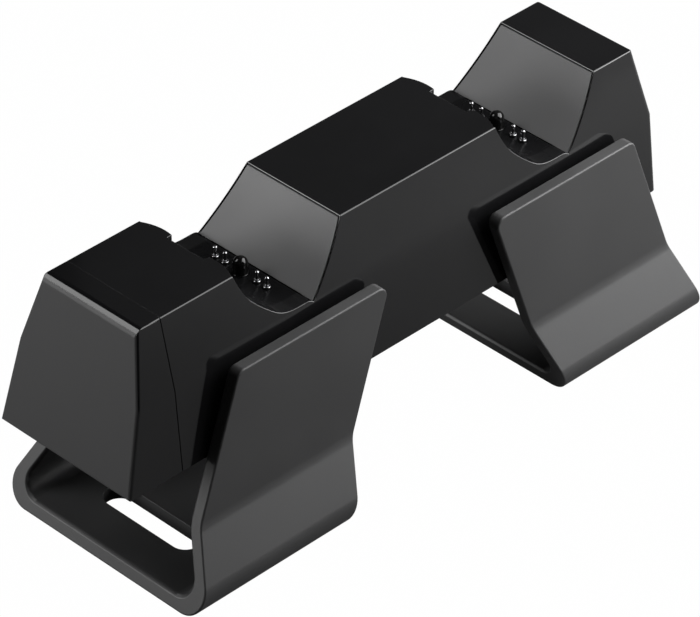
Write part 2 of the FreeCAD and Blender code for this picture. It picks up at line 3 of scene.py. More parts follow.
import bmesh
import bpy
import numpy as np
from bpy.props import FloatProperty, FloatVectorProperty, IntProperty, PointerProperty
from mathutils import Matrix, Vector


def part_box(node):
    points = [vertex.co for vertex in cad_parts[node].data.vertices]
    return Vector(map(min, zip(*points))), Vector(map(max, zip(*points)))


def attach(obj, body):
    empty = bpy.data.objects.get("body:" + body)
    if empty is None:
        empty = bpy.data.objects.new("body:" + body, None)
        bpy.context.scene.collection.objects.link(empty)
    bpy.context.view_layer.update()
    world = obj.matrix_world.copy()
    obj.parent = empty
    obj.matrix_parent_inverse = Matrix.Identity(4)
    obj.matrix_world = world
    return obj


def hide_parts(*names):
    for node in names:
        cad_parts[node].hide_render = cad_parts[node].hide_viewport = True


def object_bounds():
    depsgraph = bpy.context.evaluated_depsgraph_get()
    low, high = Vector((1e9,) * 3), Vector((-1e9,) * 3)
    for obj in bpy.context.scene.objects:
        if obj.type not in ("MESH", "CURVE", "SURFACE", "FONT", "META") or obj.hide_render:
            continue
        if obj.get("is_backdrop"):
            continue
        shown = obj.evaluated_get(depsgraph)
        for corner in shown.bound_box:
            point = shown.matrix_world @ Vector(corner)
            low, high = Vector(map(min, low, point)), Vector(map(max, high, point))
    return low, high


bl_info = {
    "name": "Controller charging dock",
    "version": (1, 0, 0),
    "blender": (4, 5, 0),
    "location": "3D View > Sidebar > Dock",
    "description": "Dresses a charging dock for two game controllers and sets its stage",
    "category": "Object",
}

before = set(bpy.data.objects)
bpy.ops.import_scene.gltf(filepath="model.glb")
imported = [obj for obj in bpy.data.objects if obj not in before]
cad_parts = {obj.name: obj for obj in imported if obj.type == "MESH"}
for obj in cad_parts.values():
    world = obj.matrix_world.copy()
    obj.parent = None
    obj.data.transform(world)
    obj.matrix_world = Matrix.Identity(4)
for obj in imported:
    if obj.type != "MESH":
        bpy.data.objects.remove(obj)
CAD_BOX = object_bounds()

MM = 0.001
WHITE = (1.0, 1.0, 1.0)
ENDS = ("near", "far")
DECK_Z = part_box("housing")[1].z
CAP_LOW, CAP_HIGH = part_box("end_cap")
UNDER_Z = CAP_LOW.z
CAP_RAKE = 8.8 * MM  # how far the cap's sloping end face leans in between the underside and the deck
SCOOP_HALF = 14.0 * MM  # half the width that the scoops' polish covers, just inside the bar's sides
SLOT_HALF = 18.0 * MM  # half the width of a stand's base that holds its slot and no bend


# Settings

def length_mm(name, description, value):
    """A length that is edited and stored in millimetres."""
    return FloatProperty(name=name, description=description, default=value, min=0.0, unit="NONE")


def degrees(name, description, value):
    """An angle, given in degrees."""
    return FloatProperty(name=name, description=description, default=math.radians(value),
                         subtype="ANGLE", unit="ROTATION")


def watts(name, description, value):
    """The power of a light."""
    return FloatProperty(name=name, description=description, default=value, min=0.0, unit="POWER")


def share(name, description, value):
    """A share between none and all."""
    return FloatProperty(name=name, description=description, default=value, min=0.0, max=1.0)


def colour(name, description, value):
    """A scene-linear colour."""
    return FloatVectorProperty(name=name, description=description, default=value,
                               min=0.0, max=1.0, size=3, subtype="COLOR")


class StageSettings(bpy.types.PropertyGroup):
    azimuth: degrees("Azimuth", "Direction of the camera about the dock", -45.072)
    elevation: degrees("Elevation", "Height of the camera as an angle", 36.119)
    roll: degrees("Roll", "Turn of the camera about its own axis", 0.248)
    distance: FloatProperty(name="Distance", description="Camera to the point it looks at",
                            default=1.0123, min=0.1, unit="LENGTH")
    target: FloatVectorProperty(name="Target", description="Point that the camera looks at",
                                default=(-0.040785, -0.0404, 0.0713), subtype="XYZ", unit="LENGTH")
    lens: FloatProperty(name="Lens", description="Focal length on a 36 mm wide sensor, in millimetres",
                        default=246.05, min=1.0)
    left_strip: watts("Left strip", "Power of the strip that the backrests face", 2.1)
    low_left: watts("Low left light", "Power of the light on the near stand's front edge", 2.2)
    high_right: watts("High right light", "Power of the light above the bar's right", 3.8)
    low_right: watts("Low right light", "Power of the light level with the far stand", 0.88)
    behind: watts("Rear light", "Power of the faint light the deck mirrors", 0.055)
    floor_colour: colour("Floor", "Colour of the paper sheet where light falls on it", (0.12, 0.12, 0.12))
    floor_near: share("Floor, near end", "Self-lit share that mirrors see at the near end", 0.02)
    floor_far: share("Floor, far end", "Self-lit share that mirrors see past the far end", 0.5)
    sky_colour: colour("Room", "Colour of the dark room around", (0.006, 0.006, 0.006))


class BarSettings(bpy.types.PropertyGroup):
    edge: length_mm("Edge rounding", "Rounding of the moulded edges, mm", 0.11)
    seam_edge: length_mm("Seam rounding", "Rounding of the edges at the cap's seam, mm", 0.012)
    black: colour("Black", "Glossy black of the bar", (0.0045, 0.0045, 0.0048))
    matt: colour("Matt face", "Colour of the end face where it is textured", (0.03, 0.03, 0.0305))


class StandSettings(bpy.types.PropertyGroup):
    edge: length_mm("Edge rounding", "Rounding of the stands' square edges, mm", 0.5)
    black: colour("Stand black", "Satin black of the stands", (0.029, 0.029, 0.0295))


class RestSettings(bpy.types.PropertyGroup):
    edge: length_mm("Edge rounding", "Rounding of the backrest plates, mm", 0.08)
    grey: colour("Grey", "Satin grey of the backrests", (0.097, 0.097, 0.098))


class ContactSettings(bpy.types.PropertyGroup):
    steps: IntProperty(name="Steps round", description="Faces round a contact", default=48, min=12)
    sleeve_lip: length_mm("Sleeve lip", "Rounding of a contact sleeve's mouth, mm", 0.18)
    head_dome: length_mm("Head dome", "Height of the dome on a contact's head, mm", 0.38)
    metal: colour("Plating", "Colour of the bright plating", (0.42, 0.42, 0.43))


class ScrewSettings(bpy.types.PropertyGroup):
    arm_width: length_mm("Recess width", "Width of an arm of the cross recess, mm", 0.62)
    arm_length: length_mm("Recess length", "Length across the cross recess, mm", 2.3)
    depth: length_mm("Recess depth", "Depth of the cross recess, mm", 0.62)


SETTINGS = (("dock_stage", StageSettings), ("dock_bar", BarSettings), ("dock_stand", StandSettings),
            ("dock_rest", RestSettings), ("dock_contact", ContactSettings), ("dock_screw", ScrewSettings))


# Shader groups

def new_group(name, inputs, outputs):
    """A node group with float or vector sockets, given as (name, kind, default)."""
    group = bpy.data.node_groups.new(name, "ShaderNodeTree")
    for label, kind, default in inputs:
        socket = group.interface.new_socket(label, in_out="INPUT", socket_type=kind)
        if default is not None:
            socket.default_value = default
    for label, kind in outputs:
        group.interface.new_socket(label, in_out="OUTPUT", socket_type=kind)
    return group, group.nodes.new("NodeGroupInput"), group.nodes.new("NodeGroupOutput")


def feed(tree, socket, value):
    """Sets an input to a number, or links it to an output socket."""
    if isinstance(value, (int, float)):
        socket.default_value = value
    else:
        tree.links.new(value, socket)


def maths(tree, operation, a, b=None, clamp=False):
    """A Math node; a and b are sockets or numbers."""
    node = tree.nodes.new("ShaderNodeMath")
    node.operation = operation
    node.use_clamp = clamp
    for socket, value in zip(node.inputs, (a, b)):
        if value is not None:
            feed(tree, socket, value)
    return node.outputs[0]


def spread(tree, value, low, high, to_low, to_high):
    """Map Range, smooth at both ends, from low..high to to_low..to_high."""
    node = tree.nodes.new("ShaderNodeMapRange")
    node.interpolation_type = "SMOOTHSTEP"
    for socket, item in zip(node.inputs[:5], (value, low, high, to_low, to_high)):
        feed(tree, socket, item)
    return node.outputs[0]


def noise(tree, vector, scale, detail, roughness=0.5):
    """Noise value on a vector socket; scale is a socket or a number per metre."""
    node = tree.nodes.new("ShaderNodeTexNoise")
    tree.links.new(vector, node.inputs["Vector"])
    feed(tree, node.inputs["Scale"], scale)
    node.inputs["Detail"].default_value = detail
    node.inputs["Roughness"].default_value = roughness
    return node.outputs["Fac"]


def axes(tree, vector):
    """The X, Y and Z of a vector socket, as the outputs of one node."""
    node = tree.nodes.new("ShaderNodeSeparateXYZ")
    tree.links.new(vector, node.inputs["Vector"])
    return node.outputs


def grain_group():
    """Height of a spark-eroded mould texture: fine noise and a finer one on top."""
    name = "moulded grain"
    if name in bpy.data.node_groups:
        return bpy.data.node_groups[name]
    group, inside, outside = new_group(
        name, (("Vector", "NodeSocketVector", None), ("Scale", "NodeSocketFloat", 3200.0)),
        (("Height", "NodeSocketFloat"),))
    coarse = noise(group, inside.outputs["Vector"], inside.outputs["Scale"], 1.0)
    finer = maths(group, "MULTIPLY", inside.outputs["Scale"], 2.7)
    fine = noise(group, inside.outputs["Vector"], finer, 1.0)
    mixed = maths(group, "ADD", maths(group, "MULTIPLY", coarse, 0.7), maths(group, "MULTIPLY", fine, 0.3))
    group.links.new(mixed, outside.inputs["Height"])
    return group


def haze_group():
    """Roughness that wanders a little, as on handled plastic: broad patches and faint wipe marks."""
    name = "handling haze"
    if name in bpy.data.node_groups:
        return bpy.data.node_groups[name]
    group, inside, outside = new_group(
        name, (("Vector", "NodeSocketVector", None), ("Base", "NodeSocketFloat", 0.1),
               ("Patches", "NodeSocketFloat", 0.05), ("Marks", "NodeSocketFloat", 0.03)),
        (("Roughness", "NodeSocketFloat"), ("Mask", "NodeSocketFloat")))
    patches = noise(group, inside.outputs["Vector"], 38.0, 3.0, 0.55)
    patches = spread(group, patches, 0.35, 0.68, 0.0, 1.0)
    stretch = group.nodes.new("ShaderNodeMapping")
    stretch.inputs["Rotation"].default_value = (0.0, 0.35, 0.5)
    stretch.inputs["Scale"].default_value = (1.0, 14.0, 14.0)
    group.links.new(inside.outputs["Vector"], stretch.inputs["Vector"])
    marks = noise(group, stretch.outputs["Vector"], 60.0, 4.0, 0.7)
    marks = spread(group, marks, 0.58, 0.72, 0.0, 1.0)
    total = maths(group, "ADD", inside.outputs["Base"],
                  maths(group, "MULTIPLY", patches, inside.outputs["Patches"]))
    total = maths(group, "ADD", total, maths(group, "MULTIPLY", marks, inside.outputs["Marks"]), clamp=True)
    group.links.new(total, outside.inputs["Roughness"])
    group.links.new(patches, outside.inputs["Mask"])
    return group


def use_group(tree, group, vector, **values):
    """Places a node group, feeds it the vector and sets its named inputs."""
    node = tree.nodes.new("ShaderNodeGroup")
    node.node_tree = group
    tree.links.new(vector, node.inputs["Vector"])
    for label, value in values.items():
        node.inputs[label].default_value = value
    return node


# Materials

POLISH = {"Base": 0.07, "Patches": 0.03, "Marks": 0.03}  # roughness of the polished mouldings
GRAIN_HEIGHT = 0.06 * MM


def shader(name, base, metallic=0.0, specular=0.5):
    """A material with its Principled shader and Object coordinates: (material, tree, shader, vector)."""
    material = bpy.data.materials.new(name)
    material.use_nodes = True
    tree = material.node_tree
    principled = next(n for n in tree.nodes if n.type == "BSDF_PRINCIPLED")
    principled.inputs["Base Color"].default_value = (*base, 1.0)
    principled.inputs["Metallic"].default_value = metallic
    principled.inputs["Specular IOR Level"].default_value = specular
    vector = tree.nodes.new("ShaderNodeTexCoord").outputs["Object"]
    return material, tree, principled, vector


def bump(tree, principled, height, strength, distance):
    """Feeds a height to the shader's normal; distance is in metres."""
    node = tree.nodes.new("ShaderNodeBump")
    node.inputs["Strength"].default_value = strength
    node.inputs["Distance"].default_value = distance
    tree.links.new(height, node.inputs["Height"])
    tree.links.new(node.outputs["Normal"], principled.inputs["Normal"])


def mix_colour(tree, mask, a, b):
    """Colour a where the mask is 0 and b where it is 1."""
    node = tree.nodes.new("ShaderNodeMix")
    node.data_type = "RGBA"
    tree.links.new(mask, node.inputs["Factor"])
    for socket, value in ((node.inputs[6], a), (node.inputs[7], b)):
        socket.default_value = (*value, 1.0)
    return node.outputs[2]


def handled(tree, principled, vector, base=None, lighter=1.0, **values):
    """Roughness from the haze group; a base colour is made lighter, times lighter, in the haze's patches.

    Returns the roughness socket, for a material that adds to it.
    """
    haze = use_group(tree, haze_group(), vector, **values)
    tree.links.new(haze.outputs["Roughness"], principled.inputs["Roughness"])
    if base is not None:
        patchy = mix_colour(tree, haze.outputs["Mask"], base, [c * lighter for c in base])
        tree.links.new(patchy, principled.inputs["Base Color"])
    return haze.outputs["Roughness"]


def dulled(tree, principled, rough, mask, added, specular):
    """Where the mask is 1, added is put on the roughness and the specular level falls from 0.5."""
    rough = maths(tree, "ADD", rough, maths(tree, "MULTIPLY", mask, added))
    tree.links.new(rough, principled.inputs["Roughness"])
    tree.links.new(spread(tree, mask, 0.0, 1.0, 0.5, specular), principled.inputs["Specular IOR Level"])


def polished_black(name, base, scoops=False):
    """Polished moulding: mirror-like, with a faint wander of its roughness and of its surface.

    Inside the scoops, under the deck and between the bar's sides, the gloss is less sharp and less strong.
    """
    material, tree, principled, vector = shader(name, base)
    rough = handled(tree, principled, vector, base, 1.25, **POLISH)
    if scoops:
        place = axes(tree, vector)
        under = spread(tree, place["Z"], DECK_Z - 1.2 * MM, DECK_Z - 0.5 * MM, 1.0, 0.0)
        between = spread(tree, maths(tree, "ABSOLUTE", place["Y"]),
                         SCOOP_HALF - 0.2 * MM, SCOOP_HALF + 0.3 * MM, 1.0, 0.0)
        dulled(tree, principled, rough, maths(tree, "MULTIPLY", under, between), 0.18, 0.07)
    bump(tree, principled, noise(tree, vector, 90.0, 1.0), 0.05, 0.6 * MM)
    return material


def cap_black(base, matt):
    """Polished moulding whose sloping end face is textured and matt."""
    material, tree, principled, vector = shader("cap black", base)
    rake = CAP_RAKE / (CAP_HIGH.z - CAP_LOW.z)
    place = axes(tree, vector)
    lean = maths(tree, "MULTIPLY", maths(tree, "SUBTRACT", place["Z"], CAP_LOW.z), rake)
    depth = maths(tree, "SUBTRACT", maths(tree, "SUBTRACT", place["X"], CAP_LOW.x), lean)
    face = spread(tree, depth, 0.05 * MM, 0.3 * MM, 1.0, 0.0)
    rough = handled(tree, principled, vector, **POLISH)
    dulled(tree, principled, rough, face, 0.4, 0.26)
    tree.links.new(mix_colour(tree, face, base, matt), principled.inputs["Base Color"])
    grain = use_group(tree, grain_group(), vector, Scale=3000.0)
    bump(tree, principled, maths(tree, "MULTIPLY", grain.outputs["Height"], face), 0.18, GRAIN_HEIGHT)
    return material


def textured(name, base, roughness, scale, strength, specular=0.4):
    """Spark-eroded or satin plastic: fine grain, and a roughness that wanders a little."""
    material, tree, principled, vector = shader(name, base, specular=specular)
    handled(tree, principled, vector, base, 1.06, Base=roughness, Patches=0.05, Marks=0.02)
    grain = use_group(tree, grain_group(), vector, Scale=scale)
    bump(tree, principled, grain.outputs["Height"], strength, GRAIN_HEIGHT)
    return material


def plated(name, base, roughness):
    """Bright plated or rolled metal with faint turning marks."""
    material, tree, principled, vector = shader(name, base, metallic=1.0)
    handled(tree, principled, vector, Base=roughness, Patches=0.04, Marks=0.05)
    stretch = tree.nodes.new("ShaderNodeMapping")
    stretch.inputs["Scale"].default_value = (0.2, 0.2, 6.0)
    tree.links.new(vector, stretch.inputs["Vector"])
    bump(tree, principled, noise(tree, stretch.outputs["Vector"], 1800.0, 2.0), 0.08, 0.03 * MM)
    return material


def circuit_board():
    """Solder-masked board: traces show as a slightly lighter, raised pattern."""
    base = (0.008, 0.075, 0.03)
    material, tree, principled, vector = shader("circuit board", base)
    bricks = tree.nodes.new("ShaderNodeTexBrick")
    tree.links.new(vector, bricks.inputs["Vector"])
    bricks.inputs["Scale"].default_value = 260.0
    bricks.inputs["Mortar Size"].default_value = 0.08
    tree.links.new(mix_colour(tree, bricks.outputs["Fac"], base, (0.02, 0.13, 0.055)),
                   principled.inputs["Base Color"])
    handled(tree, principled, vector, Base=0.3, Patches=0.06, Marks=0.0)
    bump(tree, principled, bricks.outputs["Fac"], 0.3, 0.04 * MM)
    return material


def ribbed_rubber():
    """Soft rubber with fine moulded ribs across each pad."""
    base = (0.02, 0.02, 0.02)
    material, tree, principled, vector = shader("pad rubber", base, specular=0.3)
    wave = tree.nodes.new("ShaderNodeTexWave")
    wave.bands_direction = "Y"
    wave.inputs["Scale"].default_value = 260.0
    tree.links.new(vector, wave.inputs["Vector"])
    handled(tree, principled, vector, base, 1.6, Base=0.7, Patches=0.12, Marks=0.05)
    bump(tree, principled, wave.outputs["Fac"], 0.4, 0.12 * MM)
    return material


def dress(piece, material, slot, body, *nodes):
    """Gives a finished piece its material and its body, and stands it in for CAD nodes. The slot is not used.
    """
    piece.data.materials.clear()
    piece.data.materials.append(material)
    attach(piece, body)
    if nodes:
        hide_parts(*nodes)
    return piece


# Shapes

def link_mesh(name, mesh):
    """Links a mesh as an object at the origin."""
    piece = bpy.data.objects.new(name, mesh)
    bpy.context.scene.collection.objects.link(piece)
    return piece


def outwards(mesh):
    """Turns all the faces of a closed mesh outwards."""
    shape = bmesh.new()
    shape.from_mesh(mesh)
    bmesh.ops.recalc_face_normals(shape, faces=shape.faces)
    shape.to_mesh(mesh)
    shape.free()


def softened(node, name, width, share_at=None, crease=math.radians(24)):
    """A merged copy of a CAD node whose sharp edges are rounded.

    An edge is sharp where its two faces turn by more than crease. Its rounding is width times
    share_at(middle of the edge), or the whole width where no share is given.
    """
    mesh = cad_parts[node].data.copy()
    mesh.name = name
    for layer in [a for a in mesh.attributes if a.name == "custom_normal"]:
        mesh.attributes.remove(layer)
    shape = bmesh.new()
    shape.from_mesh(mesh)
    bmesh.ops.remove_doubles(shape, verts=shape.verts, dist=4e-6)
    bmesh.ops.dissolve_degenerate(shape, dist=2e-6, edges=shape.edges)
    bmesh.ops.dissolve_limit(shape, angle_limit=math.radians(0.15), verts=shape.verts, edges=shape.edges)
    weights = shape.edges.layers.float.new("bevel_weight_edge")
    for edge in shape.edges:
        if len(edge.link_faces) == 2 and edge.calc_face_angle(0.0) > crease:
            middle = (edge.verts[0].co + edge.verts[1].co) / 2
            edge[weights] = share_at(middle) if share_at else 1.0
    for face in shape.faces:
        face.smooth = True
    shape.to_mesh(mesh)
    shape.free()
    piece = link_mesh(name, mesh)
    bevel = piece.modifiers.new("rounded edges", "BEVEL")
    bevel.limit_method = "WEIGHT"
    bevel.width = width
    bevel.segments = 3
    bevel.use_clamp_overlap = False
    bevel.miter_outer = "MITER_ARC"
    flat = piece.modifiers.new("flat faces", "WEIGHTED_NORMAL")
    flat.weight = 100
    flat.keep_sharp = False
    return piece


def grid_mesh(name, points):
    """A mesh from an array of rings, shape (rings, steps, 3), closed round and capped at its ends."""
    rings, steps = points.shape[:2]
    index = np.arange(rings * steps).reshape(rings, steps)
    after = np.roll(index, -1, axis=1)
    quads = np.stack([index[:-1], after[:-1], after[1:], index[1:]], axis=-1).reshape(-1, 4)
    mesh = bpy.data.meshes.new(name)
    mesh.from_pydata(points.reshape(-1, 3).tolist(), [],
                     quads.tolist() + [index[0][::-1].tolist(), index[-1].tolist()])
    mesh.validate()
    outwards(mesh)
    mesh.shade_smooth()
    mesh.set_sharp_from_angle(angle=math.radians(35))
    return mesh


def turned(profile, centre, steps):
    """Surface of revolution about +Z: point(i, a) = centre + (r_i cos a, r_i sin a, z_i)."""
    r, z = np.asarray(profile, float).T
    angle = np.linspace(0.0, 2.0 * math.pi, steps, endpoint=False)
    points = np.empty((len(r), steps, 3))
    points[..., 0] = centre.x + np.outer(r, np.cos(angle))
    points[..., 1] = centre.y + np.outer(r, np.sin(angle))
    points[..., 2] = z[:, None]
    return points


def quarter(radius, height, centre_r, centre_z, turn_from, turn_to, count=8):
    """Points of an elliptic arc: (centre_r + radius cos a, centre_z + height sin a)."""
    a = np.linspace(turn_from, turn_to, count)
    return np.stack([centre_r + radius * np.cos(a), centre_z + height * np.sin(a)], axis=1)


def middle_of(node):
    """The middle of a CAD node's box."""
    low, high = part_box(node)
    return (low + high) / 2


# Operators

class DOCK_OT_bar(bpy.types.Operator):
    """Moulded bar, its end cap and its bottom cover"""
    bl_idname = "dock.bar"
    bl_label = "Bar"

    def execute(self, context):
        settings = context.scene.dock_bar
        seam_share = settings.seam_edge / settings.edge

        def share_at(middle):
            """The seam's share within 1 mm of the cap's seam and 0.5 mm of the underside."""
            by_seam = abs(middle.x - CAP_HIGH.x) < 1.0 * MM or middle.z < UNDER_Z + 0.5 * MM
            return seam_share if by_seam else 1.0

        black = polished_black("bar black", settings.black, scoops=True)
        bar = softened("housing", "moulded_bar", settings.edge * MM, share_at)
        dress(bar, black, "bar_black", "dock", "housing")
        cap = softened("end_cap", "near_cap", settings.edge * MM, share_at)
        dress(cap, cap_black(settings.black, settings.matt), "cap_black", "dock", "end_cap")
        cover = softened("bottom_cover", "under_cover", settings.seam_edge * MM)
        matt = textured("cover black", (0.02, 0.02, 0.02), roughness=0.55, scale=1600.0, strength=0.5)
        dress(cover, matt, "base_black", "dock", "bottom_cover")
        return {"FINISHED"}


class DOCK_OT_backrests(bpy.types.Operator):
    """Hollow grey plates that the controllers lean on"""
    bl_idname = "dock.backrests"
    bl_label = "Backrests"

    def execute(self, context):
        settings = context.scene.dock_rest
        grey = textured("rest grey", settings.grey, roughness=0.47, scale=2600.0, strength=0.25)
        for end in ENDS:
            plate = softened("backrest_" + end, "rest_plate_" + end, settings.edge * MM)
            dress(plate, grey, "rest_grey", "dock", "backrest_" + end)
        return {"FINISHED"}


class DOCK_OT_stands(bpy.types.Operator):
    """Bent U-shaped stands"""
    bl_idname = "dock.stands"
    bl_label = "Stands"

    def execute(self, context):
        settings = context.scene.dock_stand
        black = textured("stand black", settings.black, roughness=0.47, scale=2200.0, strength=0.22,
                         specular=0.45)

        def share_at(middle):
            """A small share along the slot, where the moulding is crisp."""
            return 0.15 if abs(middle.y) < SLOT_HALF else 1.0

        for end in ENDS:
            stand = softened("stand_" + end, "bent_stand_" + end, settings.edge * MM, share_at,
                             crease=math.radians(50))
            dress(stand, black, "stand_black", "dock", "stand_" + end)
        return {"FINISHED"}


class DOCK_OT_contacts(bpy.types.Operator):
    """Locating posts, contact sleeves and sprung contact heads"""
    bl_idname = "dock.contacts"
    bl_label = "Contacts"

    def execute(self, context):
        settings = context.scene.dock_contact
        metal = plated("contact plating", settings.metal, roughness=0.14)
        post_black = polished_black("post black", (0.004, 0.004, 0.004))
        for end in ENDS:
            self.post(end, post_black, settings)
            for number in range(1, 5):
                tail = "%s_%d" % (end, number)
                self.sleeve(tail, metal, settings)
                self.head(tail, metal, settings)
        return {"FINISHED"}

    def post(self, end, material, settings):
        """Flange under the floor, shoulder through it, straight shaft and a domed top."""
        node = "post_" + end
        low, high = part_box(node)
        flange, shoulder, shaft = (high.x - low.x) / 2, 1.9 * MM, 1.725 * MM
        flange_top, dome, soft = low.z + 2.2 * MM, 1.45 * MM, 0.08 * MM
        shoulder_top = flange_top + 2.0 * MM
        edge = quarter(soft, soft, shoulder - soft, shoulder_top - soft, 0.0, math.pi / 2, 4)
        crown = quarter(dome, dome, shaft - dome, high.z - dome, 0.0, math.pi / 2, 12)
        profile = np.vstack([[(flange, low.z), (flange, flange_top), (shoulder, flange_top)], edge,
                             [(shaft, shoulder_top)], crown])
        mesh = grid_mesh("domed_post_" + end, turned(profile, middle_of(node), settings.steps))
        dress(link_mesh(mesh.name, mesh), material, "post_black", "dock", node)

    def sleeve(self, tail, metal, settings):
        """Tube with a rolled lip and an inward mouth round the contact's stem."""
        node = "barrel_" + tail
        low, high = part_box(node)
        outer, lip = (high.x - low.x) / 2, settings.sleeve_lip * MM
        mouth, bore = 0.45 * MM, 0.6 * MM
        rolled = quarter(lip, lip, outer - lip, high.z - lip, 0.0, math.pi / 2)
        inward = quarter(lip / 2, lip / 2, mouth + lip / 2, high.z - lip / 2, math.pi / 2, math.pi)
        step, floor = high.z - 0.4 * MM, low.z + 0.5 * MM
        profile = np.vstack([[(outer, low.z)], rolled, inward, [(mouth, step), (bore, step), (bore, floor)]])
        mesh = grid_mesh("contact_sleeve_" + tail, turned(profile, middle_of(node), settings.steps))
        dress(link_mesh(mesh.name, mesh), metal, "contact_metal", "dock", node)

    def head(self, tail, metal, settings):
        """Collar in the sleeve, thin stem and a rounded head."""
        node = "plunger_" + tail
        low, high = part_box(node)
        collar, stem, head = 0.52 * MM, 0.375 * MM, (high.x - low.x) / 2
        base, dome, under = high.z - 0.7 * MM, settings.head_dome * MM, 0.1 * MM
        collar_top = low.z + 0.8 * MM
        lower = quarter(under, under, head - under, base + under, -math.pi / 2, 0.0, 4)
        crown = quarter(head, dome, 0.0, high.z - dome, 0.0, math.pi / 2, 12)
        profile = np.vstack([[(collar, low.z), (collar, collar_top), (stem, collar_top), (stem, base),
                              (head - under, base)], lower, crown])
        mesh = grid_mesh("contact_head_" + tail, turned(profile, middle_of(node), settings.steps))
        dress(link_mesh(mesh.name, mesh), metal, "contact_metal", node, node)


class DOCK_OT_feet(bpy.types.Operator):
    """Rubber pads under the stands"""
    bl_idname = "dock.feet"
    bl_label = "Feet"

    def execute(self, context):
        rubber = ribbed_rubber()
        for end in ENDS:
            for place in ("front", "rear"):
                node = "pad_%s_%s" % (end, place)
                pad = softened(node, "foot_%s_%s" % (end, place), 0.25 * MM)
                dress(pad, rubber, "pad_rubber", "dock", node)
        return {"FINISHED"}


class DOCK_OT_screws(bpy.types.Operator):
    """Cover screws with cross recesses, and the hidden screws"""
    bl_idname = "dock.screws"
    bl_label = "Screws"

    def execute(self, context):
        settings = context.scene.dock_screw
        steel = plated("screw steel", (0.42, 0.42, 0.43), roughness=0.28)
        for name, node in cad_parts.items():
            if name.startswith("cover_screw"):
                self.cover_screw(name, steel, settings)
            elif name.startswith(("board_screw", "stand_screw")):
                node.data.materials.clear()
                node.data.materials.append(steel)
        return {"FINISHED"}

    def cover_screw(self, name, steel, settings):
        """Head and shank turned about Z; the head's face sinks by depth inside a cross of two arms.

        An arm's mask falls smoothly from 1 to 0 across its outline; the recess is the larger of both masks.
        """
        low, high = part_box(name)
        centre = middle_of(name)
        head, shank, head_top, edge = (high.x - low.x) / 2, 1.0 * MM, low.z + 0.9 * MM, 0.2 * MM
        face = np.linspace(0.02 * MM, head - edge, 34)
        rim = quarter(edge, edge, head - edge, low.z + edge, -math.pi / 2, 0.0, 5)[1:]
        profile = np.vstack([np.stack([face, np.full_like(face, low.z)], axis=1), rim,
                             [(head, head_top), (shank, head_top), (shank, high.z)]])
        points = turned(profile, centre, 96)
        x, y = points[..., 0] - centre.x, points[..., 1] - centre.y
        half, reach, blur = settings.arm_width * MM / 2, settings.arm_length * MM / 2, 0.08 * MM

        def inside(value, limit):
            t = np.clip((limit + blur / 2 - np.abs(value)) / blur, 0.0, 1.0)
            return t * t * (3 - 2 * t)

        cross = np.maximum(inside(x, half) * inside(y, reach), inside(y, half) * inside(x, reach))
        cross[len(face):] = 0.0
        points[..., 2] += cross * settings.depth * MM
        mesh = grid_mesh("cross_" + name, points)
        dress(link_mesh(mesh.name, mesh), steel, "screw_steel", "dock", name)


class DOCK_OT_electrics(bpy.types.Operator):
    """Boards and the power inlet with the contact strips on its tongue"""
    bl_idname = "dock.electrics"
    bl_label = "Electrics"

    def execute(self, context):
        board = circuit_board()
        for name in ("main_board", "contact_board_near", "contact_board_far"):
            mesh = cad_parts[name].data
            mesh.materials.clear()
            mesh.materials.append(board)
        steel = plated("inlet steel", (0.62, 0.62, 0.63), roughness=0.22)
        inlet = softened("power_inlet", "inlet_shell", 0.06 * MM)
        dress(inlet, steel, "inlet_steel", "dock", "power_inlet")
        self.strips()
        return {"FINISHED"}

    def strips(self):
        """Two rows of small flat bars, each the product of three ranges about its own middle."""
        low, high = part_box("power_inlet")
        middle = middle_of("power_inlet")
        count, pitch, half_width, thick = 6, 0.9 * MM, 0.17 * MM, 0.06 * MM
        y0, y1, tongue = low.y + 2.0 * MM, high.y - 1.0 * MM, 0.35 * MM
        places = middle.x + (np.arange(count) - (count - 1) / 2) * pitch
        corners = np.array([(sx, sy, sz) for sx in (-1, 1) for sy in (0, 1) for sz in (-1, 1)], float)
        quads = np.array([(0, 1, 3, 2), (4, 6, 7, 5), (0, 4, 5, 1), (2, 3, 7, 6), (0, 2, 6, 4), (1, 5, 7, 3)])
        vertices, faces = [], []
        for x in places:
            for side in (-1, 1):
                z = middle.z + side * tongue
                block = np.stack([x + corners[:, 0] * half_width, y0 + corners[:, 1] * (y1 - y0),
                                  z + corners[:, 2] * thick], axis=1)
                faces.append(quads + 8 * len(vertices))
                vertices.append(block)
        mesh = bpy.data.meshes.new("inlet_strips")
        mesh.from_pydata(np.vstack(vertices).tolist(), [], np.vstack(faces).tolist())
        outwards(mesh)
        gold = plated("strip gold", (0.75, 0.56, 0.24), roughness=0.2)
        dress(link_mesh("inlet_strips", mesh), gold, "inlet_steel", "dock")


